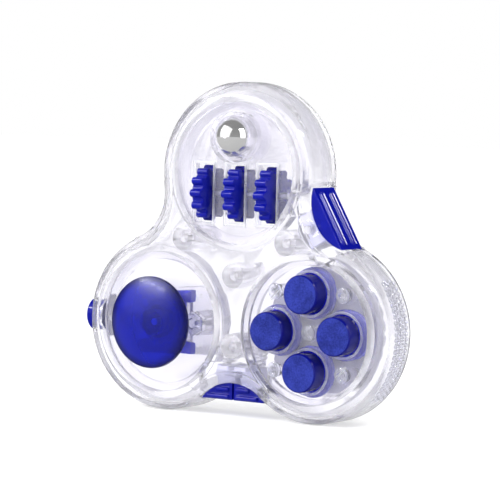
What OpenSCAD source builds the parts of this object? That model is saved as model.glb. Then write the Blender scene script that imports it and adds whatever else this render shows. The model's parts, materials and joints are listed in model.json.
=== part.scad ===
// Three-lobed fidget pad, standing on its two lower lobes.
// Every sub-part is drawn lying on its back face, with height h measured from the back face
// towards the front, and stand() then turns it upright: front to -Y, top lobe to +Z.

/* [Casing] */
// Depth of the casing, back face to front face
case_t = 15; // [14.6:0.1:18]
// Radius of each lobe
lobe_r = 21; // [20.6:0.1:25]
// Distance from the middle of the pad to each lobe's centre
lobe_pitch = 23.62; // [22.8:0.01:28.4]
// Radius of the hollow valley between two lobes
valley_r = 11.2; // [10:0.1:13.4]
// Thickness of the casing's walls
wall = 1.8; // [1.4:0.1:2.2]
// Radius of the casing's rounded rim
rim_r = 4.5; // [3.5:0.1:5]
// Radius of the posts that take the casing pins
post_r = 2.9; // [2.4:0.1:3]
// Distance of the three outer posts inwards from the valleys' floors
post_in = 9.05; // [8.8:0.05:9.4]

/* [Round panels] */
// Radius of the recess that holds each panel
recess_r = 16.5; // [16:0.1:17.5]
// Depth of the panel's face below the front face
recess_depth = 2; // [1.5:0.1:2.5]
// Thickness of a panel
panel_t = 1.6; // [1.2:0.1:2]
// Width of the ledge that a panel rests on
ledge_w = 2; // [1.2:0.1:2.4]

/* [Ball] */
// Radius of the steel ball
ball_r = 4.7625; // [3.9:0.0005:5]
// Height of the ball's centre above the panel's face
ball_rise = 0.3; // [0:0.1:1]
// Distance of the ball above the top lobe's centre
ball_up = 8.32; // [8:0.01:8.6]

/* [Toothed wheels] */
// Radius over the teeth
gear_r = 6.5; // [5.4:0.1:6.6]
// Thickness of a wheel
gear_t = 3; // [2:0.1:3.6]
// Distance from one wheel to the next
gear_pitch = 8.7; // [8.2:0.1:8.8]
// Number of teeth
gear_teeth = 12; // [8:1:14]
// Distance of the axle below the top lobe's centre
gear_down = 4.84; // [4.6:0.01:5]
// Radius of the axle
axle_r = 0.75; // [0.5:0.05:0.75]

/* [Joystick] */
// Radius of the cap
cap_r = 10.8; // [9:0.1:11.5]
// Thickness of the cap at its edge
cap_edge = 1.2; // [0.8:0.1:1.6]
// Height of the cap's dome above its edge
cap_dome = 2.6; // [2:0.1:4]
// Height of the cap's lower edge above its panel
cap_float = 3.6; // [3:0.1:4.5]
// Radius of the stem
stem_r = 2.7; // [2.2:0.1:2.9]
// Travel to each side
stick_travel = 1.5; // [1:0.1:1.6]
// Side of the square slider
slider_w = 14.8; // [13:0.1:15.5]

/* [Buttons] */
// Radius of a button
button_r = 4.45; // [3.8:0.05:4.5]
// Distance of each button from the lobe's centre
button_pitch = 8.86; // [8.6:0.02:9]
// Height of a button above its panel
button_rise = 4.15; // [3:0.05:5]
// Distance of each peg from the lobe's centre, along both axes
peg_pitch = 9; // [8.8:0.1:9.2]

/* [Dial] */
// Radius of the dial
dial_r = 13.5; // [12:0.1:14]
// Thickness of the dial
dial_t = 2.2; // [1.8:0.1:2.3]

/* [Valley controls] */
// Width of the rocker and keys through the casing's depth
key_w = 9; // [8:0.1:9]
// Height of the rocker's flat face above its valley's floor
rocker_rise = 2.95; // [2.4:0.05:3.4]
// Height of the keys' flat face above their valley's floor
key_rise = 3.55; // [2.8:0.05:3.8]
// Radius of the rocker's pin
rocker_pin_r = 1; // [0.8:0.05:1.1]

/* [Side button] */
// Radius of the side button
side_r = 4; // [3:0.1:4.2]
// How far the side button stands out of the casing
side_rise = 2.9; // [2:0.1:3.5]

/* [Fits] */
// Clearance of a running fit, on the radius
run = 0.04; // [0.02:0.01:0.08]
// Clearance between pieces that move past each other
gap = 0.3; // [0.25:0.05:0.35]

/* [Hidden] */
$fn = 72;
over = 1;                      // how far a cutter runs past a face

// The pad's layout
top_a = 90;
left_a = 210;
right_a = 330;
rocker_a = 30;
plain_a = 150;                 // the valley that holds no control
keys_a = 270;
mid_h = case_t/2;
overlap = 0.1;                 // how far a valley's circle runs into its lobes
join = 0.2;                    // how far two shapes of one piece run into each other
sector_side = 90;              // reach of a lobe's sector, along its sides
sector_mid = 110;              // and along its middle
web_past = 3;                  // how far the web runs past the lobes' centres
valley_d = valley_at(lobe_r, valley_r);
valley_floor = valley_d - valley_r;
post_pitch = valley_floor - post_in;

// Panels
face_h = case_t - recess_depth;
under_h = face_h - panel_t;
ledge_r = recess_r - ledge_w;
ledge_t = 1.4;
skirt_t = 1.4;
panel_r = recess_r - 0.1;

// Casing pins, pressed in from the back
pin_r = 1;
pin_head_r = 1.9;
pin_head_h = 1.4;
pin_sink = 0.4;
pin_len = 11;
pin_tip = 0.4;
pin_edge = 0.3;
pin_dish = 0.2;
pin_clear = 0.1;
hole_clear = 0.05;

// Ball
ball_h = face_h + ball_rise;
tube_r = 5.9;
tube_in_r = 5.15;
tube_drop = 5.5;
lip_h = 2.3;
lip_t = 0.5;
lip_r = ball_r - 0.16;
lip_bore_r = ball_r + 0.14;
cup_floor = 0.9;
cup_wall_h = 2.8;

// Toothed wheels
axle_h = under_h - axle_r - 0.05;
tooth_r = 0.9;
gear_root_r = gear_r - 1.25*tooth_r;
slot_w = gear_t + 2;
slot_l = 2*(gear_r + 0.35);
saddle_w = 1.6;
saddle_reach = 0.8;
saddle_in = 0.95;               // how far the outer saddles lie inside the even spacing
axle_half = gear_pitch*1.5 - saddle_in + saddle_w/2;

// Joystick
cap_h = face_h + cap_edge + cap_float;
slider_t = 2;
slider_h = under_h - 0.5 - slider_t;
stem_hole_r = stem_r + stick_travel*sqrt(2) + gap;
boss_x = 9.4;
boss_r = 2.8;
boss_flat = boss_r*cos(30);
notch_x = boss_x - boss_flat - stick_travel - gap;
notch_y = boss_r + stick_travel + gap;
carriage_t = 2;
carriage_h = slider_h - gap - carriage_t;
carriage_x = boss_x - boss_flat - stick_travel - gap;
carriage_y = 7.2;
rail_w = 1;
rail_rise = 0.7;
rail_x = 3.6;
rail_y = 5.6;
rail_clear = 0.1;
retainer_t = 1.4;
retainer_h = carriage_h - gap - retainer_t;
retainer_y = 7.6;
retainer_x = boss_x + 2.6;
stick_screw_r = 0.8;
stick_head_r = 1.7;
stick_head_h = 0.9;
stick_screw_len = 7;
stick_hole_deep = 6.5;
stick_clear = 0.02;            // how far the cap's rim stands in from its dome
pilot_r = 0.7;
small_screw_r = 0.65;
small_head_r = 1.2;
small_head_h = 0.8;
small_screw_bite = 4;
slider_pin_at = 5.9;
slider_pin_r = 0.7;
slider_pin_h = 0.4;
ring_r = 0.5;
ring_clear = 0.05;
ring_rise = 1;
retainer_hole_x = 3;
retainer_hole_y = 4;

// Buttons
flange_r = button_r + 1.5;
flange_t = 1.2;
flange_h = under_h - gap - flange_t;
button_edge = 0.35;
plate_t = 1.3;
plate_h = 5.3;
membrane_h = plate_h + plate_t;
membrane_t = 0.8;
button_ledge_r = button_pitch + flange_r + gap;
membrane_r = 14.2;
plate_r = 14.6;
dome_top_h = flange_h - gap;
peg_r = 1.5;
stub_r = 0.9;
stake_r = 1.35;
stake_h = 0.6;
hub_drop = 2;
dome_low_r = 4.2;
dome_top_r = 2.8;
dome_in_r = 2.2;
membrane_clear = 0.15;

// Dial
dial_h = 0.3;
well_h = dial_h + dial_t + gap;
well_r = dial_r + gap;
well_floor = 1.2;
well_wall = 1.2;
dial_pin_r = 1.5;
dial_head_r = 3.2;
dial_head_h = 1;
dial_head_clear = 0.1;
dial_press = 0.02;
dial_pin_top = 4.6;
grip_count = 24;
grip_r = 0.9;
grip_out = 0.405;              // how far the grips' centres lie outside the rim
finger_count = 5;
finger_r = 2.3;
finger_pitch = 8.4;
finger_deep = 0.9;

// Worry dish at the back of the top lobe
dish_r = 13;
dish_deep = 2.2;
dish_ball = (dish_r*dish_r + dish_deep*dish_deep)/(2*dish_deep);
dish_wall = 1.5;
dish_wall_in = 4;              // how far the dish's wall ends inside the lobe's outline

// Valley controls
key_mid_h = mid_h + 0.5;
lens_r = valley_r - 0.1;
rocker_face = valley_floor + rocker_rise;
key_face = valley_floor + key_rise;
rocker_lens = valley_floor - 0.45 + lens_r;
key_lens = valley_floor - 0.65 + lens_r;
rocker_half = sqrt(lens_r*lens_r - pow(rocker_lens - rocker_face, 2));
key_half = sqrt(lens_r*lens_r - pow(key_lens - key_face, 2));
window_w = key_w + 2*gap;
window_deep = 12;
lens_deep = 8;
rocker_window = rocker_half + 0.75;
key_window = key_half + gap;
groove_r = 0.45;
groove_out = 0.1575;           // how far the grooves' centres lie outside the flat face
groove_end = 1.2;
groove_heights = [-3, -1.8, 1.2, 2.4];
pin_d = valley_floor - 2.55;
block_d = valley_floor - 4.05;
block_l = 5;
block_half = 4;
block_w = 8;
leaf_t = 0.3;
leaf_r = 8.6;
leaf_half = 5;
leaf_w = 5;
pin_boss_r = 2.2;
pin_end = 0.1;                 // how far the rocker's pin stops short of its holes' ends
post_clear = 0.2;
key_slit = 0.25;
key_block_in = valley_floor - 4.35;
key_block_t0 = 0.9;
key_block_t1 = 6.4;
key_wing_out = valley_floor - 3.35;
key_wing_t = 1;
key_wing_t1 = 4;
key_wing_below = 0.4;
key_wing_w = window_w + 0.6;
key_block_top = under_h - ledge_t - gap - key_mid_h;   // stays below the panels' ledges
spring_t = 4.6;
spring_seat_d = valley_floor - 8.25;
seat_t = 1;
seat_top = mid_h + 2;
seat_half = 6.2;

// Side button
side_travel = 0.9;
side_bar_half = side_r + 0.9;
side_bar_w = 4.4;
side_bar_t = 1;
side_bar_out = sqrt(pow(lobe_r - wall, 2) - pow(side_bar_half, 2)) - gap;
side_shank_in = recess_r + skirt_t + side_travel + 0.2;
side_seat = 13.3;
side_dome = 0.9;
side_neck_half = side_r*0.8;
side_clear = 0.15;

// Springs
wire_r = 0.22;
coil_r = 1.5;
coil_sides = 6;
coil_rings = 12;               // rings to a turn
coil_clear = 0.05;
side_turns = 5;
key_turns = 4;

clear_plastic = [0.90, 0.91, 0.97, 0.35];
blue = [0.07, 0.08, 0.62];
steel = [0.75, 0.75, 0.77];
milky = [0.72, 0.72, 0.92];

// Point at distance d in direction a
function polar(d, a) = [d*cos(a), d*sin(a)];
// Distance from the pad's middle to a valley's centre, for a lobe and valley that meet
function valley_at(lobe, valley) =
    lobe_pitch*cos(60) + sqrt(pow(lobe + valley - overlap, 2) - pow(lobe_pitch*sin(60), 2));

// Turns a piece that lies on its back upright, front to -Y
module stand() { rotate([90, 0, 0]) children(); }
module at_lobe(a) { translate(polar(lobe_pitch, a)) children(); }
// Turns a piece so that its +X points out along a valley
module in_valley(a) { rotate([0, 0, a]) children(); }

// ---- Casing outlines ----

// A lobe from height 0 to h, rounded at its upper edge
module rounded_lobe(r, h, edge) {
    rotate_extrude() difference() {
        square([r, h]);
        difference() {
            translate([r - edge, h - edge]) square([edge + over, edge + over]);
            translate([r - edge, h - edge]) circle(edge);
        }
    }
}

// The round cutter of a valley, flared at its upper edge
module valley_cutter(r, h, edge) {
    flare = edge*0.6;
    translate([0, 0, -over]) cylinder(r = r, h = h + 2*over);
    translate([0, 0, h - flare]) cylinder(r1 = r - 0.01, r2 = r + flare, h = flare + 0.01);
}

// One third of the plane, around a lobe
module third(a, h) {
    linear_extrude(h) polygon([
        [0, 0], polar(sector_side, a - 60), polar(sector_mid, a), polar(sector_side, a + 60)]);
}

// Three lobes and the web between them, rounded at the upper edge
module trefoil(lobe, valley, h, edge) {
    d = valley_at(lobe, valley);
    for (a = [top_a, left_a, right_a]) intersection() {
        at_lobe(a) rounded_lobe(lobe, h, edge);
        translate([0, 0, -over]) third(a, h + 2*over);
    }
    difference() {
        linear_extrude(h) polygon([for (k = [0:5])
            k % 2 == 0 ? polar(lobe_pitch + web_past, top_a + 60*k) : polar(d, top_a + 60*k)]);
        for (a = [rocker_a, plain_a, keys_a])
            translate(polar(d, a)) valley_cutter(valley, h, edge);
    }
}

// Half a casing, its seam at height 0 and its outer face at mid_h
module half_casing() {
    difference() {
        trefoil(lobe_r, valley_r, mid_h, rim_r);
        translate([0, 0, -over])
            trefoil(lobe_r - wall, valley_r + wall, mid_h - wall + over, rim_r - wall);
    }
}

module at_posts() {
    children();
    for (a = [rocker_a, plain_a, keys_a]) translate(polar(post_pitch, a)) children();
}

// Openings that both halves share: the rocker's and keys' windows and the side button's hole
module side_openings() {
    in_valley(rocker_a) translate([block_d - over, -rocker_window, key_mid_h - window_w/2])
        cube([window_deep, 2*rocker_window, window_w]);
    in_valley(keys_a) translate([block_d - over, -key_window, key_mid_h - window_w/2])
        cube([window_deep, 2*key_window, window_w]);
    at_lobe(left_a) translate([-lobe_r - over, 0, mid_h]) rotate([0, 90, 0])
        cylinder(r = side_r + side_clear, h = wall + 3*over);
}

// ---- Casing ----

module front_shell() color(clear_plastic) stand() difference() {
    union() {
        translate([0, 0, mid_h]) half_casing();
        for (a = [top_a, left_a, right_a]) at_lobe(a)
            translate([0, 0, under_h - ledge_t])
                cylinder(r = recess_r + skirt_t, h = case_t - wall/2 - under_h + ledge_t);
        at_posts() translate([0, 0, mid_h]) cylinder(r = post_r, h = mid_h - wall/2);
        in_valley(rocker_a) translate([pin_d, 0, key_mid_h + block_w/2 + gap])
            cylinder(r = pin_boss_r, h = case_t - wall/2 - key_mid_h - block_w/2 - gap);
    }
    for (a = [top_a, left_a, right_a]) at_lobe(a) {
        translate([0, 0, under_h]) cylinder(r = recess_r, h = case_t);
        translate([0, 0, under_h - ledge_t - over])
            cylinder(r = a == right_a ? button_ledge_r : ledge_r, h = case_t);
    }
    at_lobe(top_a) for (k = [-1, 0, 1])
        translate([k*gear_pitch - slot_w/2, -gear_down - slot_l/2, under_h - ledge_t - over])
            cube([slot_w, slot_l, ledge_t + 2*over]);
    at_posts() translate([0, 0, mid_h - over])
        cylinder(r = pin_r + hole_clear, h = pin_sink + pin_len - mid_h + 2*over);
    in_valley(rocker_a) translate([pin_d, 0, mid_h])
        cylinder(r = rocker_pin_r + run, h = case_t - wall + 2*pin_end - mid_h);
    side_openings();
}

module back_shell() color(clear_plastic) stand() difference() {
    union() {
        translate([0, 0, mid_h]) mirror([0, 0, 1]) half_casing();
        at_posts() translate([0, 0, wall/2]) cylinder(r = post_r, h = mid_h - wall/2);
        at_lobe(right_a) translate([0, 0, wall/2])
            cylinder(r = well_r + well_wall, h = well_h + well_floor - wall/2);
        intersection() {
            at_lobe(top_a) translate([0, 0, dish_deep - dish_ball])
                sphere(r = dish_ball + dish_wall, $fn = 96);
            at_lobe(top_a) translate([0, 0, wall/2]) cylinder(r = lobe_r - dish_wall_in, h = mid_h);
        }
        in_valley(rocker_a) translate([pin_d, 0, wall/2])
            cylinder(r = pin_boss_r, h = key_mid_h - block_w/2 - gap - wall/2);
        in_valley(keys_a) translate([spring_seat_d - seat_t, -seat_half, wall/2])
            cube([seat_t, 2*seat_half, seat_top - wall/2]);
        at_lobe(left_a) translate([-side_seat, -side_r, wall/2])
            cube([seat_t, 2*side_r, seat_top - wall/2]);
    }
    at_posts() {
        translate([0, 0, -over])
            cylinder(r = pin_head_r + pin_clear, h = pin_sink + pin_head_h + over);
        translate([0, 0, -over]) cylinder(r = pin_r + hole_clear, h = mid_h + 2*over);
    }
    at_lobe(right_a) {
        translate([0, 0, -over]) cylinder(r = well_r, h = well_h + over);
        translate([0, 0, -over])
            cylinder(r = dial_pin_r + dial_press, h = well_h + well_floor + 2*over);
    }
    at_lobe(top_a) translate([0, 0, dish_deep - dish_ball]) sphere(r = dish_ball, $fn = 96);
    translate(polar(post_pitch, keys_a)) translate([0, 0, mid_h])
        cylinder(r = post_r + post_clear, h = seat_top);
    in_valley(rocker_a) translate([pin_d, 0, wall]) cylinder(r = rocker_pin_r + run, h = mid_h);
    side_openings();
}

// A pan-head screw, its head at height 0 and its shank upwards
module screw(shank_r, head_r, head_h, length) {
    slot = 0.5;
    cross = head_r*0.7;
    difference() {
        union() {
            cylinder(r = head_r, h = head_h);
            cylinder(r = shank_r, h = length);
        }
        for (a = [0, 90]) rotate([0, 0, a])
            translate([-cross, -slot/2, -over]) cube([2*cross, slot, head_h/2 + over]);
    }
}

// Four clear pins with dished heads and tapered tips
module case_pins() color(clear_plastic) stand() at_posts() translate([0, 0, pin_sink])
    rotate_extrude() polygon([[0, pin_edge], [pin_head_r/2, pin_dish], [pin_head_r - pin_edge, 0],
                              [pin_head_r, pin_edge], [pin_head_r, pin_head_h], [pin_r, pin_head_h],
                              [pin_r, pin_len - pin_tip], [pin_r - pin_tip, pin_len], [0, pin_len]]);

// ---- Top lobe: ball and toothed wheels ----

module panel_disc() { translate([0, 0, under_h]) cylinder(r = panel_r, h = panel_t); }

module gear_panel() color(clear_plastic) stand() at_lobe(top_a) difference() {
    union() {
        panel_disc();
        translate([0, ball_up, under_h - tube_drop + panel_t])
            cylinder(r = tube_r, h = tube_drop + lip_h);
        for (k = [-1.5, -0.5, 0.5, 1.5])
            translate([k*gear_pitch - saddle_w/2 - (abs(k) > 1 ? sign(k)*saddle_in : 0),
                       -gear_down - saddle_reach - axle_r, axle_h - axle_r - saddle_reach])
                cube([saddle_w, 2*(saddle_reach + axle_r),
                      under_h - axle_h + axle_r + saddle_reach + panel_t/2]);
    }
    translate([0, ball_up, under_h - tube_drop]) cylinder(r = tube_in_r, h = tube_drop + panel_t);
    translate([0, ball_up, face_h - over]) cylinder(r = lip_bore_r, h = lip_h - lip_t + over);
    translate([0, ball_up, face_h]) cylinder(r = lip_r, h = lip_h + over);
    for (k = [-1, 0, 1])
        translate([k*gear_pitch - slot_w/2, -gear_down - slot_l/2, under_h - over])
            cube([slot_w, slot_l, panel_t + 2*over]);
    translate([-axle_half - over, -gear_down, axle_h]) rotate([0, 90, 0])
        cylinder(r = axle_r + run/2, h = 2*(axle_half + over));
}

// A wheel with rounded teeth, flat along X, its centre on the axle
module gear(k) color(blue) stand() at_lobe(top_a)
    translate([k*gear_pitch - gear_t/2, -gear_down, axle_h]) rotate([0, 90, 0]) difference() {
        linear_extrude(gear_t) union() {
            circle(gear_root_r);
            for (i = [0:gear_teeth - 1])
                translate(polar(gear_r - tooth_r, 360*i/gear_teeth)) circle(tooth_r, $fn = 24);
        }
        translate([0, 0, -over]) cylinder(r = axle_r + run, h = gear_t + 2*over);
    }

module gear_left() gear(-1);
module gear_middle() gear(0);
module gear_right() gear(1);

module gear_axle() color(steel) stand() at_lobe(top_a)
    translate([-axle_half, -gear_down, axle_h]) rotate([0, 90, 0])
        cylinder(r = axle_r, h = 2*axle_half);

module steel_ball() color(steel) stand() at_lobe(top_a)
    translate([0, ball_up, ball_h]) sphere(r = ball_r, $fn = 96);

module ball_cup() color(clear_plastic) stand() at_lobe(top_a) translate([0, ball_up, 0]) difference() {
    translate([0, 0, ball_h - ball_r - run - cup_floor])
        cylinder(r = tube_in_r - hole_clear, h = cup_wall_h);
    translate([0, 0, ball_h]) sphere(r = ball_r + run, $fn = 96);
}

// ---- Left lobe: joystick ----

module at_bosses() { for (s = [-1, 1]) translate([s*boss_x, 0, 0]) children(); }

module joystick_panel() color(clear_plastic) stand() at_lobe(left_a) difference() {
    union() {
        panel_disc();
        at_bosses() translate([0, 0, retainer_h + retainer_t]) rotate([0, 0, 30])
            cylinder(r = boss_r, h = under_h - retainer_h - retainer_t + panel_t/2, $fn = 6);
    }
    translate([0, 0, under_h - over]) cylinder(r = stem_hole_r, h = panel_t + 2*over);
    at_bosses() translate([0, 0, retainer_h]) cylinder(r = pilot_r, h = under_h - retainer_h);
}

module joystick_cap() color(blue) stand() at_lobe(left_a) difference() {
    dome_r = (cap_r*cap_r + cap_dome*cap_dome)/(2*cap_dome);
    inner_r = dome_r - cap_edge;
    union() {
        intersection() {
            translate([0, 0, cap_h + cap_dome - dome_r]) sphere(r = dome_r, $fn = 96);
            translate([0, 0, cap_h]) cylinder(r = cap_r, h = cap_dome + over);
        }
        translate([0, 0, cap_h - cap_edge]) cylinder(r = cap_r - stick_clear, h = cap_edge + join);
        translate([0, 0, slider_h + slider_t]) cylinder(r = stem_r, h = cap_h + 1 - slider_h - slider_t);
    }
    difference() {
        intersection() {
            translate([0, 0, cap_h + cap_dome - dome_r]) sphere(r = inner_r, $fn = 96);
            translate([0, 0, cap_h - cap_edge - over]) cylinder(r = cap_r - cap_edge, h = 4*over + cap_dome);
        }
        cylinder(r = stem_r, h = case_t*2);
    }
    difference() {
        translate([0, 0, cap_h - cap_edge - over]) cylinder(r = cap_r - cap_edge, h = over + cap_edge);
        cylinder(r = stem_r, h = case_t*2);
    }
    translate([0, 0, slider_h]) cylinder(r = stick_screw_r + hole_clear, h = stick_hole_deep);
}

module stem_ring() color([0.05, 0.05, 0.12]) stand() at_lobe(left_a)
    translate([0, 0, face_h + ring_rise]) rotate_extrude()
        translate([stem_r + ring_clear + ring_r, 0]) circle(ring_r, $fn = 24);

module joystick_slider() color(blue) stand() at_lobe(left_a) difference() {
    union() {
        translate([-slider_w/2, -slider_w/2, slider_h]) cube([slider_w, slider_w, slider_t]);
        for (x = [-1, 1], y = [-1, 1])
            translate([x*slider_pin_at, y*slider_pin_at, slider_h + slider_t - join])
                cylinder(r = slider_pin_r, h = slider_pin_h, $fn = 24);
    }
    for (s = [-1, 1]) translate([s > 0 ? notch_x : -slider_w/2 - over, -notch_y, slider_h - over])
        cube([slider_w/2 + over - notch_x, 2*notch_y, slider_t + 2*over]);
    for (s = [-1, 1])
        translate([s*rail_x - rail_w/2 - rail_clear, -slider_w/2 - over, slider_h - over])
            cube([rail_w + 2*rail_clear, slider_w + 2*over, over + rail_rise - gap + rail_clear]);
    translate([0, 0, slider_h - over]) cylinder(r = stick_screw_r + hole_clear, h = slider_t + 2*over);
}

module joystick_screw() color(steel) stand() at_lobe(left_a)
    translate([0, 0, slider_h - stick_head_h]) screw(stick_screw_r, stick_head_r, stick_head_h, stick_screw_len);

module joystick_carriage() color(clear_plastic) stand() at_lobe(left_a) difference() {
    union() {
        translate([-carriage_x, -carriage_y, carriage_h])
            cube([2*carriage_x, 2*carriage_y, carriage_t]);
        for (s = [-1, 1]) translate([s*rail_x - rail_w/2, -carriage_y, carriage_h + carriage_t/2])
            cube([rail_w, 2*carriage_y, carriage_t/2 + rail_rise]);
    }
    translate([-stick_head_r - gap, -stick_head_r - stick_travel - gap, carriage_h - over])
        cube([2*(stick_head_r + gap), 2*(stick_head_r + stick_travel + gap), carriage_t + 2*over]);
    for (s = [-1, 1])
        translate([-carriage_x - over, s*rail_y - rail_w/2 - rail_clear, carriage_h - over])
            cube([2*(carriage_x + over), rail_w + 2*rail_clear, over + rail_rise - gap + rail_clear]);
}

module joystick_retainer() color(clear_plastic) stand() at_lobe(left_a) difference() {
    union() {
        translate([-retainer_x, -retainer_y, retainer_h])
            cube([2*retainer_x, 2*retainer_y, retainer_t]);
        for (s = [-1, 1])
            translate([-boss_x + boss_flat + gap, s*rail_y - rail_w/2, retainer_h + retainer_t/2])
                cube([2*(boss_x - boss_flat - gap), rail_w, retainer_t/2 + rail_rise]);
    }
    at_bosses() translate([0, 0, retainer_h - over]) cylinder(r = pilot_r, h = retainer_t + 2*over);
    translate([-retainer_hole_x, -retainer_hole_y, retainer_h - over])
        cube([2*retainer_hole_x, 2*retainer_hole_y, retainer_t + 2*over]);
}

module retainer_screws() color(steel) stand() at_lobe(left_a) at_bosses()
    translate([0, 0, retainer_h - small_head_h])
        screw(small_screw_r, small_head_r, small_head_h, small_head_h + retainer_t + small_screw_bite);

// ---- Left lobe: side button ----

module side_button() color(blue) stand() at_lobe(left_a) translate([0, 0, mid_h])
    rotate([0, -90, 0]) {
        out = lobe_r + side_rise;
        dome_r = (side_r*side_r + side_dome*side_dome)/(2*side_dome);
        translate([-side_bar_w/2, -side_bar_half, side_bar_out - side_bar_t])
            cube([side_bar_w, 2*side_bar_half, side_bar_t]);
        translate([-side_bar_w/2, -side_neck_half, side_bar_out - side_bar_t])
            cube([side_bar_w, 2*side_neck_half, side_shank_in + join/2 - side_bar_out + side_bar_t]);
        intersection() {
            translate([0, 0, side_shank_in]) cylinder(r = side_r, h = out);
            translate([0, 0, out - dome_r]) sphere(r = dome_r, $fn = 96);
        }
    }

module side_button_spring() color(steel) stand() at_lobe(left_a)
    translate([-side_seat - coil_clear, 0, mid_h]) rotate([0, -90, 0])
        coil(side_bar_out - side_bar_t - side_seat - 2*coil_clear, side_turns);

// ---- Right lobe: buttons ----

module at_pegs() { for (x = [-1, 1], y = [-1, 1]) translate([x*peg_pitch, y*peg_pitch, 0]) children(); }
module at_buttons() { for (a = [0, 90, 180, 270]) translate(polar(button_pitch, a)) children(); }

module button_panel() color(clear_plastic) stand() at_lobe(right_a) difference() {
    union() {
        panel_disc();
        at_pegs() {
            translate([0, 0, membrane_h])
                cylinder(r = peg_r, h = under_h + panel_t/2 - membrane_h);
            translate([0, 0, plate_h - stake_h/2]) cylinder(r = stub_r, h = under_h - plate_h);
            translate([0, 0, plate_h - stake_h])
                cylinder(r1 = stub_r, r2 = stake_r, h = stake_h);
        }
        translate([0, 0, under_h - hub_drop]) cylinder(r = peg_r, h = hub_drop + panel_t/2);
    }
    at_buttons() translate([0, 0, under_h - over]) cylinder(r = button_r + gap, h = panel_t + 2*over);
}

module button(a) color(blue) stand() at_lobe(right_a) translate(polar(button_pitch, a)) {
    top_h = face_h + button_rise;
    cylinder_h = top_h - flange_h - button_edge;
    translate([0, 0, flange_h]) rotate_extrude()
        polygon([[0, 0], [flange_r, 0], [flange_r, flange_t], [button_r, flange_t],
                 [button_r, cylinder_h], [button_r - button_edge, cylinder_h + button_edge],
                 [0, cylinder_h + button_edge]]);
}

module button_top() button(90);
module button_left() button(180);
module button_right() button(0);
module button_bottom() button(270);

module button_membrane() color(milky) stand() at_lobe(right_a) difference() {
    union() {
        translate([0, 0, membrane_h]) cylinder(r = membrane_r, h = membrane_t);
        at_buttons() translate([0, 0, membrane_h])
            cylinder(r1 = dome_low_r, r2 = dome_top_r, h = dome_top_h - membrane_h);
    }
    at_pegs() translate([0, 0, membrane_h - over])
        cylinder(r = peg_r + membrane_clear, h = membrane_t + 2*over);
    at_buttons() translate([0, 0, membrane_h - over])
        cylinder(r = dome_in_r, h = dome_top_h - membrane_h - membrane_t + over);
}

module button_backplate() color(clear_plastic) stand() at_lobe(right_a) difference() {
    translate([0, 0, plate_h]) cylinder(r = plate_r, h = plate_t);
    at_pegs() translate([0, 0, plate_h - over]) cylinder(r = stub_r + hole_clear, h = plate_t + 2*over);
}

// ---- Right lobe: dial at the back ----

module spin_dial() color(blue) stand() at_lobe(right_a) difference() {
    translate([0, 0, dial_h]) cylinder(r = dial_r, h = dial_t);
    translate([0, 0, dial_h - over]) cylinder(r = dial_pin_r + run, h = dial_t + 2*over);
    translate([0, 0, dial_h - over]) cylinder(r = dial_head_r + dial_head_clear, h = dial_head_h + over);
    for (i = [0:finger_count - 1]) translate(polar(finger_pitch, 90 + 360*i/finger_count))
        translate([0, 0, dial_h - over]) cylinder(r = finger_r, h = finger_deep + over);
    for (i = [0:grip_count - 1]) translate(polar(dial_r + grip_out, 360*i/grip_count))
        translate([0, 0, dial_h - over]) cylinder(r = grip_r, h = dial_t + 2*over, $fn = 24);
}

module dial_screw() color(steel) stand() at_lobe(right_a) translate([0, 0, dial_h])
    screw(dial_pin_r, dial_head_r, dial_head_h - dial_head_clear, dial_pin_top - dial_h);

// ---- Valley controls ----

// The part of a valley that a control fills, flat outside and round inside
module lens(centre, face, half) {
    intersection() {
        translate([centre, 0, 0]) cylinder(r = lens_r, h = key_w, center = true);
        translate([face - lens_deep, -half - over, -key_w/2 - over])
            cube([lens_deep, 2*(half + over), key_w + 2*over]);
    }
}

// Two pairs of grooves along a control's flat face
module face_grooves(face, half) {
    for (h = groove_heights) translate([face + groove_out, 0, h]) rotate([90, 0, 0])
        cylinder(r = groove_r, h = 2*(half - groove_end), center = true, $fn = 24);
}

module flip_rocker() color(blue) stand() in_valley(rocker_a) translate([0, 0, key_mid_h]) difference() {
    union() {
        lens(rocker_lens, rocker_face, rocker_half);
        translate([block_d, -block_half, -block_w/2]) cube([block_l, 2*block_half, block_w]);
    }
    translate([pin_d, 0, -key_w]) cylinder(r = rocker_pin_r + run, h = 2*key_w);
    face_grooves(rocker_face, rocker_half);
}

module rocker_pin() color(steel) stand() in_valley(rocker_a) translate([pin_d, 0, wall + pin_end])
    cylinder(r = rocker_pin_r, h = case_t - 2*wall - pin_end);

module rocker_spring() color(steel) stand() in_valley(rocker_a)
    translate([post_pitch + post_r + post_clear + leaf_r, 0, key_mid_h]) intersection() {
        difference() {
            cylinder(r = leaf_r, h = leaf_w, center = true);
            cylinder(r = leaf_r - leaf_t, h = leaf_w + 2*over, center = true);
        }
        translate([-leaf_r - over, -leaf_half, -leaf_w]) cube([leaf_r, 2*leaf_half, 2*leaf_w]);
    }

// A key fills one half of its valley; side is 1 for the right one and -1 for the left one
module valley_key(side) color(blue) stand() in_valley(keys_a) translate([0, 0, key_mid_h])
    difference() {
        union() {
            intersection() {
                lens(key_lens, key_face, key_half);
                translate([0, side > 0 ? key_slit : -key_half - over, -key_w])
                    cube([40, key_half + over - key_slit, 2*key_w]);
            }
            translate([key_block_in, side > 0 ? key_block_t0 : -key_block_t1, -block_w/2])
                cube([block_l, key_block_t1 - key_block_t0, block_w/2 + key_block_top]);
            translate([key_wing_out - key_wing_t, side > 0 ? key_block_t0 : -key_wing_t1,
                       -window_w/2 - key_wing_below])
                cube([key_wing_t, key_wing_t1 - key_block_t0, key_wing_w]);
        }
        face_grooves(key_face, key_half);
    }

module left_key() valley_key(-1);
module right_key() valley_key(1);

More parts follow.
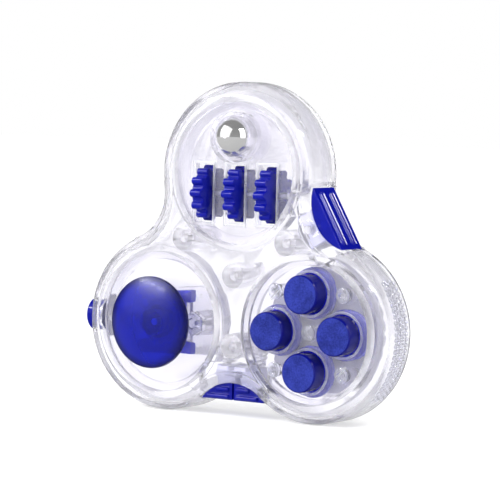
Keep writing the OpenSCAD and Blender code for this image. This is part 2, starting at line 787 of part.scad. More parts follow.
// A coil spring along +Z from height 0, as one swept tube
module coil(length, turns) {
    n = turns*coil_rings;
    points = [for (i = [0:n], j = [0:coil_sides - 1])
        let (a = 360*i/coil_rings, b = 360*j/coil_sides,
             r = coil_r + wire_r*cos(b), z = wire_r + (length - 2*wire_r)*i/n + wire_r*sin(b))
        [r*cos(a), r*sin(a), z]];
    sides = [for (i = [0:n - 1], j = [0:coil_sides - 1])
        let (k = (j + 1) % coil_sides)
        [i*coil_sides + j, (i + 1)*coil_sides + j, (i + 1)*coil_sides + k, i*coil_sides + k]];
    ends = [[for (j = [0:coil_sides - 1]) j],
            [for (j = [coil_sides - 1:-1:0]) n*coil_sides + j]];
    polyhedron(points, concat(sides, ends), convexity = 10);
}

module key_springs() color(steel) stand() in_valley(keys_a) for (s = [-1, 1])
    translate([spring_seat_d + coil_clear, s*spring_t, mid_h]) rotate([0, 90, 0])
        coil(key_block_in - spring_seat_d - 2*coil_clear, key_turns);

front_shell();
back_shell();
case_pins();
gear_panel();
gear_left();
gear_middle();
gear_right();
gear_axle();
steel_ball();
ball_cup();
joystick_panel();
joystick_cap();
stem_ring();
joystick_slider();
joystick_screw();
joystick_carriage();
joystick_retainer();
retainer_screws();
side_button();
side_button_spring();
button_panel();
button_top();
button_left();
button_right();
button_bottom();
button_membrane();
button_backplate();
spin_dial();
dial_screw();
flip_rocker();
rocker_pin();
rocker_spring();
left_key();
right_key();
key_springs();
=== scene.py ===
import json
import math

import bpy
from mathutils import Matrix, Vector


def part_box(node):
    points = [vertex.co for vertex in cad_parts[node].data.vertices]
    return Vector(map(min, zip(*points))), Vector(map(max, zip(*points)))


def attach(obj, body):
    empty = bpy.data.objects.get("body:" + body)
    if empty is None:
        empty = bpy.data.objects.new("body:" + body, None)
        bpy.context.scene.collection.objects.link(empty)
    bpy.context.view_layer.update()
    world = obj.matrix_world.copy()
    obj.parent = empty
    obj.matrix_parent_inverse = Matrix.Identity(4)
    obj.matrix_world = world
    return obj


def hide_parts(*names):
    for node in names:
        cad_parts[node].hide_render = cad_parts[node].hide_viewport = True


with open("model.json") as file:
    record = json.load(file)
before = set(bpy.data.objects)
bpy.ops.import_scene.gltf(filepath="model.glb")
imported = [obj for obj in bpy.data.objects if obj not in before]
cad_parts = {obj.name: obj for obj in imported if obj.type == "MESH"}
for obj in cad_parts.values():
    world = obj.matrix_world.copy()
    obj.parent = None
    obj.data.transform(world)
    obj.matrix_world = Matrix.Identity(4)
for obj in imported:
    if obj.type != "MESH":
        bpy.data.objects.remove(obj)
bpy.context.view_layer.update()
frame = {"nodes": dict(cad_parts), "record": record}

MM = 0.001
JOINT_GAP = 0.015 * MM          # how far a moulding's faces lie inside its nominal size
NODES = frame["nodes"]

# ---------------------------------------------------------------- where things are


def middle(node):
    """The centre of a CAD node's box."""
    low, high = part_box(node)
    return (low + high) / 2


case_low, case_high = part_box("front_shell")
back_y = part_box("back_shell")[1].y
front_y = case_low.y
floor_z = case_low.z

left_lobe = middle("joystick_panel")
right_lobe = middle("button_panel")
LENS_RADIUS = 11.1 * MM         # radius of the rocker's and the keys' round inner side


def valley_middle(direction, nodes):
    """The middle of the circle whose segment a valley's controls fill, direction pointing out."""
    side = Vector((-direction.z, 0, direction.x))
    places = [vertex.co for node in nodes for vertex in NODES[node].data.vertices]
    face = max(place.dot(direction) for place in places)
    half = max(place.dot(side) for place in places)
    return tuple(direction * (face + math.sqrt(LENS_RADIUS ** 2 - half ** 2)))


rocker_out = middle("rocker_pin") * Vector((1, 0, 1))
rocker_out.normalize()


# ---------------------------------------------------------------- materials


class Value:
    """A node's output, so that sums on its number can be written as Python."""

    def __init__(self, nodes, socket):
        self.nodes = nodes
        self.socket = socket

    def _math(self, operation, first, second=None):
        inputs = {0: first} if second is None else {0: first, 1: second}
        return self.nodes.node("ShaderNodeMath", {"operation": operation}, inputs)

    def __add__(self, other):
        return self._math("ADD", self, other)

    def __radd__(self, other):
        return self._math("ADD", other, self)

    def __sub__(self, other):
        return self._math("SUBTRACT", self, other)

    def __rsub__(self, other):
        return self._math("SUBTRACT", other, self)

    def __mul__(self, other):
        return self._math("MULTIPLY", self, other)

    def __rmul__(self, other):
        return self._math("MULTIPLY", other, self)

    def __truediv__(self, other):
        return self._math("DIVIDE", self, other)

    def above(self, edge):
        return self._math("GREATER_THAN", self, edge)

    def below(self, edge):
        return self._math("LESS_THAN", self, edge)


class Nodes:
    """A node tree that is being put together, a material's or the world's."""

    def __init__(self, tree):
        self.tree = tree

    def put(self, socket, value):
        """Links or sets one input socket."""
        if isinstance(value, Value):
            self.tree.links.new(value.socket, socket)
        else:
            socket.default_value = value

    def node(self, kind, settings=None, inputs=None, output=0):
        """Adds one node, sets it up, feeds its sockets and returns its output."""
        made = self.tree.nodes.new(kind)
        for name, value in (settings or {}).items():
            if name == "stops":
                ramp = made.color_ramp.elements
                while len(ramp) < len(value):
                    ramp.new(0.5)
                for stop, (place, shade) in zip(ramp, value):
                    stop.position = place
                    stop.color = grey(shade)
            else:
                setattr(made, name, value)
        for name, value in (inputs or {}).items():
            self.put(made.inputs[name], value)
        return Value(self, made.outputs[output])

    def ramp(self, factor, *stops):
        """A grey that goes from stop to stop, each a place and a shade."""
        return self.node("ShaderNodeValToRGB", {"stops": stops}, {"Fac": factor})

    def blend(self, factor, first, second):
        """A colour between two colours."""
        return self.node("ShaderNodeMix", {"data_type": "RGBA"},
                         {"Factor": factor, 6: first, 7: second}, output=2)


class Finish(Nodes):
    """A material that is being put together around one Principled shader."""

    def __init__(self, name, **shader):
        self.material = bpy.data.materials.new(name)
        self.material.use_nodes = True
        super().__init__(self.material.node_tree)
        self.shader = self.tree.nodes["Principled BSDF"]
        for socket, value in shader.items():
            self.shader.inputs[socket.replace("_", " ")].default_value = value

    def set(self, socket, value):
        """Links or sets one of the shader's inputs."""
        self.put(self.shader.inputs[socket], value)

    def place(self):
        """The point's own place, in the object's metres."""
        return self.node("ShaderNodeTexCoord", output="Object")

    def distance(self, first, second):
        """How far apart two places are, in metres."""
        return self.node("ShaderNodeVectorMath", {"operation": "DISTANCE"},
                         {0: first, 1: second}, output="Value")

    def noise(self, size, detail=3.0, rough=0.5, stretch=(1, 1, 1)):
        """Smooth noise with lumps of about this size, in metres."""
        where = self.node("ShaderNodeMapping", None, {"Vector": self.place(), "Scale": stretch})
        return self.node("ShaderNodeTexNoise", None, {
            "Vector": where, "Scale": 1 / size, "Detail": detail, "Roughness": rough})

    def bump(self, height, depth, strength):
        """Feeds a height, in shares of depth, to the shader's normal."""
        self.set("Normal", self.node("ShaderNodeBump", None, {
            "Height": height, "Distance": depth, "Strength": strength}))


def rgb(red, green, blue):
    return (red, green, blue, 1.0)


def grey(level):
    return rgb(level, level, level)


def shaded(colour, share):
    """A colour made darker or lighter, share being 1 for the colour itself."""
    return rgb(*[part * share for part in colour[:3]])


def clear_plastic(name, tint, pale, haze, ripple, index=1.24):
    """Clear moulding: faint tint, slightly uneven gloss, shallow ripples from the mould.

    ripple is in millimetres.
    """
    finish = Finish(name, Transmission_Weight=0.92, IOR=index, Specular_IOR_Level=0.5,
                    Coat_Weight=0.5, Coat_IOR=1.5, Coat_Roughness=0.06)
    clouds = finish.noise(6 * MM, 2.0)
    finish.set("Base Color", finish.blend(clouds, tint, pale))
    finish.set("Roughness", clouds * haze + haze * 0.5)
    swirl = finish.noise(2.6 * MM, 2.0, 0.6)
    finish.bump(swirl, ripple * MM, 0.6)
    return finish.material


def blue_finish(name):
    """Royal-blue plastic to be coloured, with its mottling and its fine grain."""
    finish = Finish(name, IOR=1.5, Specular_IOR_Level=0.0, Coat_Roughness=0.05)
    patches = finish.noise(2.6 * MM, 2.0) * 0.4 + finish.noise(0.45 * MM, 3.0, 0.7) * 0.6
    mottle = finish.ramp(patches, (0.38, 0.0), (0.6, 1.0))
    return finish, mottle, finish.noise(0.16 * MM, 2.0)


def blue_plastic(name, shade, gloss=0.1, coat=0.45, valley=None):
    """Moulded royal-blue plastic, faintly mottled and glossy.

    valley is the middle of the round valley that a control fills; what lies outside it, inside the casing,
    is painted pale lilac, a painted wash of the light seen through the clear casing.
    """
    finish, mottle, fine = blue_finish(name)
    colour = finish.blend(mottle, shade, shaded(shade, 1.2))
    if valley:
        flat = finish.node("ShaderNodeVectorMath", {"operation": "MULTIPLY"},
                           {0: finish.place(), 1: (1, 0, 1)}, output="Vector")
        # the part inside the casing is painted pale lilac: painted light that washes it out, not the blue
        # plastic's own colour
        painted_wash = finish.distance(flat, valley).above(LENS_RADIUS + 0.12 * MM)
        colour = finish.blend(painted_wash, colour, rgb(0.72, 0.72, 0.96))
    finish.set("Base Color", colour)
    finish.set("Roughness", mottle * 0.06 + gloss)
    finish.set("Coat Weight", mottle * 0.08 + coat)
    finish.bump(fine, 0.004 * MM, 0.4)
    return finish.material


def button_plastic(face):
    """The buttons' blue plastic: matt and worn in front, glossy round the sides, and painted brighter below
    the panel, a painted glow for the light that reaches them through the clear panel.
    """
    finish, mottle, fine = blue_finish("blue_button")
    depth = finish.node("ShaderNodeSeparateXYZ", None, {0: finish.place()}, output="Y")
    on_face = 1 - depth.above(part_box("button_top")[0].y + 0.08 * MM)
    inside = depth.above(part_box("button_panel")[0].y)
    faces = finish.blend(mottle, shaded(face, 0.62), shaded(face, 1.2))
    # below the panel the sides are painted bright blue: a painted glow, not the plastic's own colour
    sides = finish.blend(inside, rgb(0.001, 0.002, 0.12), rgb(0.01, 0.016, 0.5))
    finish.set("Base Color", finish.blend(on_face, sides, faces))
    finish.set("Roughness", on_face * 0.34 + 0.1)
    finish.set("Coat Weight", (1 - on_face) * 0.45)
    finish.bump(fine, 0.012 * MM, 0.5)
    return finish.material


def cap_plastic():
    """The thumb cap's plastic: deep blue, a little see-through, with a worn middle and a rim painted
    darker, a painted shade.
    """
    finish = Finish("cap_plastic", IOR=1.12, Specular_IOR_Level=0.0, Transmission_Weight=0.75,
                    Coat_Weight=0.6, Coat_IOR=1.5, Coat_Roughness=0.32)
    mottle = finish.noise(1.2 * MM, 4.0, 0.6)
    centre = finish.distance(finish.place(), tuple(middle("joystick_cap")))
    worn = finish.ramp(centre / (MM * 3), (0.3, 1.0), (0.8, 0.0))
    body = finish.blend(mottle, rgb(0.001, 0.007, 0.36), rgb(0.003, 0.012, 0.48))
    # darker towards the rim: painted shade at the dome's edge
    rim = finish.ramp(centre / (MM * 10.8), (0.84, 0.0), (0.99, 1.0))
    finish.set("Base Color", finish.blend(rim, body, rgb(0.001, 0.003, 0.12)))
    finish.set("Roughness", mottle * 0.05 + worn * 0.15 + 0.04)
    finish.bump(finish.noise(0.22 * MM, 3.0) * (worn * 3 + 0.4), 0.03 * MM, 0.6)
    return finish.material


def polished_steel():
    """The ball's steel."""
    finish = Finish("polished_steel", Metallic=0.85)
    scuffs = finish.noise(0.5 * MM, 4.0, 0.6, (1, 1, 6))
    finish.set("Base Color", finish.blend(scuffs, grey(0.72), grey(0.8)))
    finish.set("Roughness", scuffs * 0.04 + 0.07)
    return finish.material


def plated_steel():
    """The axles', screws' and springs' steel, with fine marks across the depth."""
    finish = Finish("plated_steel", Metallic=1.0)
    grain = finish.noise(0.25 * MM, 4.0, 0.6, (1, 6, 1))
    finish.set("Base Color", finish.blend(grain, rgb(0.6, 0.6, 0.64), rgb(0.78, 0.78, 0.82)))
    finish.set("Roughness", grain * 0.2 + 0.2)
    finish.bump(grain, 0.01 * MM, 0.4)
    return finish.material


def milky_silicone():
    """The sheet under the buttons."""
    finish = Finish("milky_silicone", Transmission_Weight=0.45, IOR=1.15)
    clouds = finish.noise(2.5 * MM, 2.0)
    finish.set("Base Color", finish.blend(clouds, rgb(0.8, 0.8, 0.97), rgb(0.9, 0.9, 0.99)))
    finish.set("Roughness", clouds * 0.15 + 0.45)
    finish.bump(finish.noise(0.2 * MM), 0.02 * MM, 0.4)
    return finish.material


def dark_rubber():
    """The ring on the thumb cap's stem."""
    finish = Finish("dark_rubber", Roughness=0.6)
    grain = finish.noise(0.2 * MM, 3.0)
    finish.set("Base Color", finish.blend(grain, rgb(0.006, 0.006, 0.02), rgb(0.02, 0.02, 0.05)))
    finish.bump(grain, 0.02 * MM, 0.5)
    return finish.material


BLUE = rgb(0.001, 0.003, 0.18)
FACE = rgb(0.021, 0.03, 0.2)
INSERT_TINT = rgb(0.93, 0.92, 0.985)
INSERT_PALE = rgb(0.97, 0.96, 0.998)

clear = clear_plastic("clear_casing", rgb(0.93, 0.925, 0.97), rgb(0.975, 0.97, 0.99),
                      haze=0.14, ripple=0.08)
clear_inner = clear_plastic("clear_insert", INSERT_TINT, INSERT_PALE, haze=0.12, ripple=0.05)
clear_thin = clear_plastic("clear_ball_tube", INSERT_TINT, INSERT_PALE, haze=0.1, ripple=0.05,
                           index=1.06)
clear_lens = clear_plastic("clear_bosses", rgb(0.86, 0.87, 0.95), rgb(0.95, 0.95, 0.99),
                           haze=0.04, ripple=0.03, index=1.45)
edge_white = clear_plastic("clear_edges", rgb(0.97, 0.97, 0.99), rgb(0.995, 0.995, 1.0),
                           haze=0.3, ripple=0.02)
blue = blue_plastic("blue_moulding", BLUE)
blue_button = button_plastic(FACE)
blue_rocker = blue_plastic("blue_rocker", BLUE, gloss=0.08, coat=0.6,
                           valley=valley_middle(rocker_out, ["flip_rocker"]))
blue_key = blue_plastic("blue_key", BLUE, gloss=0.08, coat=0.6,
                        valley=valley_middle(Vector((0, 0, -1)), ["left_key", "right_key"]))
# the slider's blue is painted brighter than the others: painted light for the light that the clear casing
# keeps from it
blue_painted_bright = blue_plastic("blue_painted_bright", rgb(0.01, 0.016, 0.62))
steel = plated_steel()
milky = milky_silicone()
rubber = dark_rubber()

# ---------------------------------------------------------------- pieces

BODIES = frame["record"]["behaviour"]["bodies"]
BODY_OF = {node: body for body, nodes in BODIES.items() for node in nodes}

SMOOTH_ANGLE = math.radians(40)     # edges sharper than this stay sharp to the light
EDGE_ANGLE = math.radians(35)       # edges sharper than this are worn
BUTTONS = ("button_top", "button_left", "button_right", "button_bottom")
WHEELS = ("gear_left", "gear_middle", "gear_right")


def paint(name, material):
    """Gives a CAD node's object one material."""
    slots = NODES[name].data.materials
    slots.clear()
    slots.append(material)


def only(obj):
    """Makes one object the selected and active one."""
    bpy.ops.object.select_all(action="DESELECT")
    obj.select_set(True)
    bpy.context.view_layer.objects.active = obj


def modify(obj, kind, **settings):
    """Adds one modifier and applies it."""
    only(obj)
    made = obj.modifiers.new(kind.lower(), kind)
    for name, value in settings.items():
        setattr(made, name, value)
    bpy.ops.object.modifier_apply(modifier=made.name)


def settle(made, material, body):
    """Gives a new piece its material and its body."""
    made.data.materials.clear()
    made.data.materials.append(material)
    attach(made, body)
    return made


def open_up(name):
    """Names the new primitive, fixes its place and opens it for editing, all of it selected."""
    made = bpy.context.object
    made.name = name
    bpy.ops.object.transform_apply(location=True, rotation=True, scale=True)
    bpy.ops.object.mode_set(mode="EDIT")
    bpy.ops.mesh.select_all(action="SELECT")
    return made


def close_up():
    """Turns all faces outwards and leaves edit mode."""
    bpy.ops.mesh.select_all(action="SELECT")
    bpy.ops.mesh.normals_make_consistent(inside=False)
    bpy.ops.object.mode_set(mode="OBJECT")


def copy_of(node, material):
    """A free copy of a CAD node's mesh, with its loose triangles joined up, which stands for it."""
    made = bpy.data.objects.new(node + "_moulding", NODES[node].data.copy())
    bpy.context.scene.collection.objects.link(made)
    only(made)
    bpy.ops.object.mode_set(mode="EDIT")
    bpy.ops.mesh.select_all(action="SELECT")
    bpy.ops.mesh.remove_doubles(threshold=0.001 * MM)
    bpy.ops.mesh.dissolve_limited(angle_limit=math.radians(0.6))
    bpy.ops.object.mode_set(mode="OBJECT")
    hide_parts(node)
    return settle(made, material, BODY_OF[node])


def clear_moulding(node, edge, material):
    """A clear moulding with soft edges and a hair's breadth of air between it and its neighbours."""
    made = copy_of(node, material)
    modify(made, "BEVEL", width=edge * MM, segments=2, limit_method="ANGLE",
           angle_limit=EDGE_ANGLE, use_clamp_overlap=True)
    modify(made, "DISPLACE", strength=-JOINT_GAP, mid_level=0)
    only(made)
    bpy.ops.object.shade_smooth_by_angle(angle=SMOOTH_ANGLE)
    return made


def bar(start, end, radius):
    """A round bar between two points, with rounded ends."""
    start, end = Vector(start), Vector(end)
    bpy.ops.object.select_all(action="DESELECT")
    bpy.ops.mesh.primitive_cylinder_add(vertices=24, radius=radius * MM, depth=(end - start).length,
                                        location=(start + end) / 2,
                                        rotation=(end - start).to_track_quat("Z", "Y").to_euler())
    made = bpy.context.object
    bpy.ops.object.transform_apply(location=True, rotation=True, scale=True)
    modify(made, "BEVEL", width=0.7 * radius * MM, segments=3, limit_method="ANGLE",
           angle_limit=math.radians(40))
    return made


def rounded_moulding(node, grain, passes, material, bars=()):
    """An opaque moulding with worn edges, and any raised bars grown into it.

    grain is the mesh's cell, in millimetres.
    """
    made = copy_of(node, material)
    for extra in bars:
        extra.select_set(True)
    if bars:
        bpy.context.view_layer.objects.active = made
        bpy.ops.object.join()
    modify(made, "REMESH", mode="VOXEL", voxel_size=grain * MM, adaptivity=0)
    modify(made, "SMOOTH", factor=0.5, iterations=passes)
    bpy.ops.object.shade_smooth()
    return made


def turned(name, centre, rings, material, body, sides):
    """A piece turned about the depth axis: rings are radius and height towards the front."""
    x, z = centre
    radius, height = rings[0]
    bpy.ops.object.select_all(action="DESELECT")
    bpy.ops.mesh.primitive_circle_add(vertices=sides, radius=radius * MM, fill_type="NGON",
                                      location=(x, back_y - height * MM, z),
                                      rotation=(math.pi / 2, 0, 0))
    made = open_up(name)
    for wide, high in rings[1:]:
        bpy.ops.mesh.extrude_region_move(
            TRANSFORM_OT_translate={"value": (0, (height - high) * MM, 0)})
        scale = wide / radius
        bpy.ops.transform.resize(value=(scale, 1, scale), center_override=(x, back_y - high * MM, z))
        radius, height = wide, high
    close_up()
    bpy.ops.object.shade_smooth_by_angle(angle=SMOOTH_ANGLE)
    return settle(made, material, body)


def spot(lobe, distance, angle):
    """A place on a lobe's face, at a distance and angle from the lobe's centre."""
    turn = math.radians(angle)
    return lobe.x + distance * MM * math.cos(turn), lobe.z + distance * MM * math.sin(turn)


def ring(name, centre, radius, wire, height, material):
    """A half-round bead that stands on a face of the casing at this height."""
    x, z = centre
    foot = back_y - height * MM
    bpy.ops.object.select_all(action="DESELECT")
    bpy.ops.mesh.primitive_torus_add(major_radius=radius * MM, minor_radius=wire * MM,
                                     major_segments=80, minor_segments=14,
                                     location=(x, foot, z), rotation=(math.pi / 2, 0, 0))
    made = open_up(name)
    bpy.ops.mesh.bisect(plane_co=(x, foot - JOINT_GAP, z), plane_no=(0, 1, 0), use_fill=True,
                        clear_outer=True)
    close_up()
    bpy.ops.object.shade_smooth_by_angle(angle=SMOOTH_ANGLE)
    return settle(made, material, "casing")


def rib(name, lobe, distance, angle, sweep, thick, height, rise, material):
    """A short curved rib on a panel's face, concentric with its lobe."""
    x, z = spot(lobe, distance, angle - sweep / 2)
    foot = back_y - height * MM - JOINT_GAP
    bpy.ops.object.select_all(action="DESELECT")
    bpy.ops.mesh.primitive_plane_add(size=1, location=(x, foot - rise * MM / 2, z))
    bpy.context.object.scale = (thick * MM, rise * MM, 1)
    bpy.context.object.rotation_euler = (0, -math.radians(angle - sweep / 2), 0)
    made = open_up(name)
    bpy.ops.mesh.spin(steps=12, angle=math.radians(sweep), center=(lobe.x, foot, lobe.z),
                      axis=(0, -1, 0))
    close_up()
    modify(made, "BEVEL", width=0.14 * MM, segments=2, limit_method="ANGLE",
           angle_limit=EDGE_ANGLE)
    bpy.ops.object.shade_smooth_by_angle(angle=SMOOTH_ANGLE)
    return settle(made, material, "casing")


def slot_frame(name, low, high, border, height, rise, material):
    """A raised border round a slot in a panel's face."""
    foot = back_y - height * MM - JOINT_GAP
    bpy.ops.object.select_all(action="DESELECT")
    bpy.ops.mesh.primitive_plane_add(size=1, rotation=(math.pi / 2, 0, 0),
                                     location=((low[0] + high[0]) / 2, foot, (low[1] + high[1]) / 2))
    bpy.context.object.scale = (high[0] - low[0] + 2 * border * MM,
                                high[1] - low[1] + 2 * border * MM, 1)
    made = open_up(name)
    bpy.ops.mesh.inset(thickness=border * MM)
    bpy.ops.mesh.delete(type="FACE")
    bpy.ops.mesh.select_all(action="SELECT")
    bpy.ops.mesh.extrude_region_move(TRANSFORM_OT_translate={"value": (0, -rise * MM, 0)})
    close_up()
    modify(made, "BEVEL", width=0.12 * MM, segments=2, limit_method="ANGLE",
           angle_limit=EDGE_ANGLE)
    bpy.ops.object.shade_smooth_by_angle(angle=SMOOTH_ANGLE)
    return settle(made, material, "casing")


def grip_band(name, lobe, radius, start, end, rows, pitch, material):
    """Staggered rows of low pebbles round a lobe's side wall."""
    middle_y = (front_y + back_y) / 2
    bpy.ops.object.select_all(action="DESELECT")
    bpy.ops.mesh.primitive_ico_sphere_add(subdivisions=2, radius=0.46 * pitch * MM)
    pebble = bpy.context.object
    pebble.scale = (0.6, 1, 1)
    bpy.ops.object.transform_apply(location=True, rotation=True, scale=True)
    step = math.degrees(pitch / radius)
    copies = []
    for row in range(rows):
        across = (row - (rows - 1) / 2) * pitch * MM * 0.9
        count = int((end - start) / step)
        for place in range(count):
            turn = math.radians(start + (place + 0.5 * (row % 2)) * step)
            x = lobe.x + radius * MM * math.cos(turn)
            z = lobe.z + radius * MM * math.sin(turn)
            stone = bpy.data.objects.new(name, pebble.data.copy())
            stone.data.transform(Matrix.Translation((x, middle_y + across, z)) @
                                 Matrix.Rotation(-turn, 4, "Y"))
            bpy.context.scene.collection.objects.link(stone)
            copies.append(stone)
    bpy.data.objects.remove(pebble)
    bpy.ops.object.select_all(action="DESELECT")
    for stone in copies:
        stone.select_set(True)
    bpy.context.view_layer.objects.active = copies[0]
    bpy.ops.object.join()
    made = bpy.context.object
    made.name = name
    bpy.ops.object.shade_smooth()
    return settle(made, material, "casing")


def height_of(node):
    """How far a node's front stands before the back face, in millimetres."""
    return (back_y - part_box(node)[0].y) / MM


# The raised bars' sizes, in millimetres
ROCKER_BAR = 0.6                # radius
ROCKER_BAR_SUNK = 0.1           # from the rocker's face in to the bar's middle
ROCKER_BAR_SHORT = 1.3          # from the face's end to the bar's
ROCKER_FACE_SHIFT = 0.5         # from the rocker's pin forward to the face's middle
ROCKER_BAR_DEPTHS = (-2.6, 1.6)     # from the face's middle, backwards
KEY_BAR = 0.45                  # radius
KEY_BAR_SUNK = 0.22             # from the key's front in to the bar's middle
KEY_BAR_START = 0.9             # from the gap between the keys to the bar's inner end
KEY_BAR_ENDS = ((0.75, 7.0), (2.5, 4.6))    # each bar's rise over the key's floor, and its outer end


def rocker_bars():
    """Two raised bars along the rocker's flat face."""
    along = Vector((-rocker_out.z, 0, rocker_out.x))
    places = [vertex.co for vertex in NODES["flip_rocker"].data.vertices]
    face_out = max(place.dot(rocker_out) for place in places)
    face_half = max(place.dot(along) for place in places) - ROCKER_BAR_SHORT * MM
    face_middle = middle("rocker_pin").y - ROCKER_FACE_SHIFT * MM
    bars = []
    for depth in ROCKER_BAR_DEPTHS:
        seat = rocker_out * (face_out - ROCKER_BAR_SUNK * MM) + Vector((0, face_middle + depth * MM, 0))
        bars.append(bar(seat - along * face_half, seat + along * face_half, ROCKER_BAR))
    return bars


def key_bars(side):
    """Two raised bars across a key's front, side being -1 for the left key and 1 for the right."""
    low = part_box("left_key")[0]
    depth = low.y + KEY_BAR_SUNK * MM
    bars = []
    for rise, reach in KEY_BAR_ENDS:
        height = low.z + rise * MM
        bars.append(bar((side * KEY_BAR_START * MM, depth, height), (side * reach * MM, depth, height),
                        KEY_BAR))
    return bars


# The thumb cap's sizes, in millimetres
CAP_STEM = 2.65                 # radius of the stem
CAP_UNDER = 3.8                 # from the dome's top back to the flat underside
CAP_RIM = 0.5                   # rounding of the rim
CAP_RISE = 2.6                  # the dome's rise


def cap_rings():
    """The thumb cap's outline: a flared stem, a flat underside, a round rim and a shallow dome."""
    low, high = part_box("joystick_cap")
    top = height_of("joystick_cap")
    foot = height_of("joystick_slider") + 0.02
    reach = (high.x - low.x) / 2 / MM
    curve = (reach ** 2 + CAP_RISE ** 2) / (2 * CAP_RISE)
    rings = [(CAP_STEM, foot), (CAP_STEM, top - 4.4), (3.0, top - 3.9), (3.6, top - CAP_UNDER),
             (reach - CAP_RIM, top - CAP_UNDER)]
    for step in range(1, 6):
        turn = math.radians(18 * step)
        rings.append((reach - CAP_RIM + CAP_RIM * math.sin(turn),
                      top - (CAP_UNDER - CAP_RIM) - CAP_RIM * math.cos(turn)))
    rings.append((reach, top - CAP_RISE - 0.35))
    for step in range(22):
        across = (reach - 0.12) * math.cos(math.radians(step * 4.25))
        rings.append((across, top - curve + math.sqrt(curve ** 2 - across ** 2)))
    return rings


for node in ("front_shell", "back_shell"):
    clear_moulding(node, edge=0.2, material=clear)
for node in ("joystick_panel", "button_panel", "joystick_carriage", "joystick_retainer",
             "button_backplate", "case_pins"):
    clear_moulding(node, edge=0.15, material=clear_inner)
for node in ("gear_panel", "ball_cup"):
    clear_moulding(node, edge=0.15, material=clear_thin)
for node in ("gear_axle", "joystick_screw", "retainer_screws", "side_button_spring",
             "dial_screw", "rocker_pin", "rocker_spring", "key_springs"):
    paint(node, steel)
paint("steel_ball", polished_steel())
paint("button_membrane", milky)
paint("stem_ring", rubber)

for node in WHEELS:
    rounded_moulding(node, grain=0.14, passes=5, material=blue)
for node in BUTTONS:
    rounded_moulding(node, grain=0.15, passes=5, material=blue_button)
rounded_moulding("flip_rocker", grain=0.13, passes=4, material=blue_rocker, bars=rocker_bars())
for node, side in (("left_key", -1), ("right_key", 1)):
    rounded_moulding(node, grain=0.13, passes=4, material=blue_key, bars=key_bars(side))
rounded_moulding("joystick_slider", grain=0.2, passes=3, material=blue_painted_bright)
rounded_moulding("side_button", grain=0.18, passes=5, material=blue)
rounded_moulding("spin_dial", grain=0.2, passes=3, material=blue)

thumb_cap = turned("thumb_cap", (left_lobe.x, left_lobe.z), cap_rings(), cap_plastic(), "stick",
                   sides=96)
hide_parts("joystick_cap")

# Small raised pieces on the panels' face: each ring is a radius and a rise above the face
HEX_BOSS = ((2.9, 0.03), (2.9, 0.5), (2.65, 0.7), (1.5, 0.7), (1.3, 0.15))
PEG_HEAD = ((1.8, 0.03), (1.8, 0.25), (1.65, 0.4), (1.2, 0.45), (0.9, 0.35), (0.7, 0.1))
PANEL_BOSS = ((1.75, 0.03), (1.75, 0.2), (1.6, 0.3))
SLOT_SIDE = 1.0                 # from a wheel to its slot's border, across and above it
SLOT_END = 0.35
face_height = height_of("joystick_panel")


def raised(name, centre, outline, sides):
    """A turned clear piece on the panels' face."""
    rings = [(radius, face_height + rise) for radius, rise in outline]
    turned(name, centre, rings, clear_lens, "casing", sides)


for side, across in (("left", -9.4), ("right", 9.4)):
    raised(f"hex_boss_{side}", (left_lobe.x + across * MM, left_lobe.z), HEX_BOSS, sides=6)
for node in BUTTONS:
    low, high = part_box(node)
    ring("lip_round_" + node, ((low.x + high.x) / 2, (low.z + high.z) / 2), radius=5.15, wire=0.32,
         height=face_height, material=edge_white)
for number, angle in enumerate((45, 135, 225, 315)):
    raised(f"peg_head_{number}", spot(right_lobe, distance=12.7, angle=angle), PEG_HEAD,
           sides=32)
for number, angle in enumerate((26, 154, 206, 334)):
    rib(f"panel_rib_{number}", right_lobe, distance=12.3, angle=angle, sweep=17, thick=0.5,
        height=face_height, rise=0.35, material=edge_white)
raised("panel_boss", (right_lobe.x, right_lobe.z), PANEL_BOSS, sides=40)
for side in ("left", "middle", "right"):
    low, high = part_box("gear_" + side)
    slot_frame("slot_frame_" + side, (low.x - SLOT_SIDE * MM, low.z - SLOT_END * MM),
               (high.x + SLOT_SIDE * MM, high.z + SLOT_END * MM), border=0.6, height=face_height, rise=0.35,
               material=edge_white)
grip_band("grip_band", right_lobe, radius=(case_high.x - right_lobe.x) / MM - 0.05,
          start=-44, end=40, rows=5, pitch=1.3, material=clear_lens)

# ---------------------------------------------------------------- floor, light and camera


def first_mirror(nodes):
    """1 for a ray that a glossy surface has turned and that hasn't been through clear plastic."""
    outside = nodes.node("ShaderNodeLightPath", output="Transmission Depth").below(0.5)
    return nodes.node("ShaderNodeLightPath", output="Is Glossy Ray") * outside


def floor(mirrored_shade):
    """A pale sheet of paper, which glossy surfaces see as darker."""
    bpy.ops.mesh.primitive_plane_add(size=8, location=(0, 0, floor_z))
    made = bpy.context.object
    made.name = "floor"
    paper = Finish("floor_paper", Roughness=0.9, Specular_IOR_Level=0.0, Emission_Color=grey(1),
                   Emission_Strength=0.5)
    paper.set("Base Color", paper.blend(paper.noise(0.05, 3.0), grey(0.55), grey(0.55 * 1.01)))
    lit = Value(paper, paper.shader.outputs[0])
    dim = paper.node("ShaderNodeEmission", None, {"Color": grey(mirrored_shade)})
    shown = paper.node("ShaderNodeMixShader", None, {0: first_mirror(paper), 1: lit, 2: dim})
    paper.put(paper.tree.nodes["Material Output"].inputs["Surface"], shown)
    made.data.materials.append(paper.material)


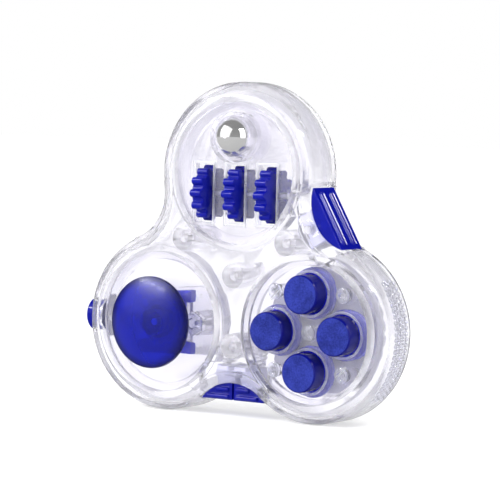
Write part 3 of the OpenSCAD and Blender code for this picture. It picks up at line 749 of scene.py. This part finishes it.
def surroundings(wall, ceiling, inside):
    """An even white room, which glossy surfaces see as darker towards its ceiling.

    inside is the shade that reflections within or behind clear plastic see.
    """
    world = bpy.data.worlds.new("studio")
    bpy.context.scene.world = world
    world.use_nodes = True
    room = Nodes(world.node_tree)
    direction = room.node("ShaderNodeTexCoord", output="Generated")
    height = room.node("ShaderNodeSeparateXYZ", None, {0: direction}, output="Z")
    mirrored = room.ramp(height, (0.1, wall), (0.7, ceiling))
    glossy = room.node("ShaderNodeLightPath", output="Is Glossy Ray")
    even = room.blend(glossy, grey(1), rgb(inside, inside, inside * 1.04))
    background = room.tree.nodes["Background"]
    room.put(background.inputs["Color"], room.blend(first_mirror(room), even, mirrored))
    background.inputs["Strength"].default_value = 1.0


def soft_box(name, place, size, power):
    """A rectangular light that faces the pad, its size in metres and its power in watts."""
    light = bpy.data.lights.new(name, "AREA")
    light.shape = "RECTANGLE"
    light.size, light.size_y = size
    light.energy = power
    made = bpy.data.objects.new(name, light)
    bpy.context.scene.collection.objects.link(made)
    made.visible_camera = False
    made.location = place
    made.rotation_euler = (-Vector(place)).to_track_quat("-Z", "Y").to_euler()


def camera(azimuth, elevation, roll, distance, lens, across, above):
    """Looks at the pad from a distance, azimuth 0 being from straight in front.

    across and above are how far the view's middle lies to the right of the pad's and over it.
    """
    turn = math.radians(azimuth)
    rise = math.radians(elevation)
    back = Vector((math.sin(turn) * math.cos(rise), -math.cos(turn) * math.cos(rise), math.sin(rise)))
    level = Vector((math.cos(turn), math.sin(turn), 0))
    tilt = Matrix.Rotation(math.radians(roll), 4, back)
    right = tilt @ level
    up = back.cross(right)
    centre = Vector((0, (front_y + back_y) / 2, 0))
    stand = across * right + above * up + centre + back * distance
    made = bpy.data.objects.new("camera", bpy.data.cameras.new("camera"))
    made.data.lens = lens
    made.data.sensor_width = 36
    made.data.clip_start = 0.01
    made.matrix_world = Matrix.Translation(stand) @ Matrix((right, up, back)).transposed().to_4x4()
    bpy.context.scene.collection.objects.link(made)
    bpy.context.scene.camera = made


floor(mirrored_shade=0.5)
surroundings(wall=0.1, ceiling=0.02, inside=0.7)
soft_box("left_softbox", (-0.3, -0.42, 0.26), size=(0.75, 0.55), power=1.6)
soft_box("right_softbox", (0.6, -0.2, 0.2), size=(0.35, 0.5), power=1.2)
soft_box("left_strip", (-0.33, -0.45, 0.34), size=(0.45, 0.04), power=2.8)
soft_box("right_strip", (0.56, -0.22, 0.55), size=(0.3, 0.06), power=2.6)
camera(azimuth=33.28, elevation=3.39, roll=1.2, distance=0.5427, lens=168.3,
       across=0.66 * MM, above=5.73 * MM)
scene = bpy.context.scene
scene.view_settings.view_transform = "Standard"
scene.cycles.max_bounces = 40
scene.cycles.transmission_bounces = 40
scene.cycles.glossy_bounces = 12
scene.cycles.caustics_refractive = True
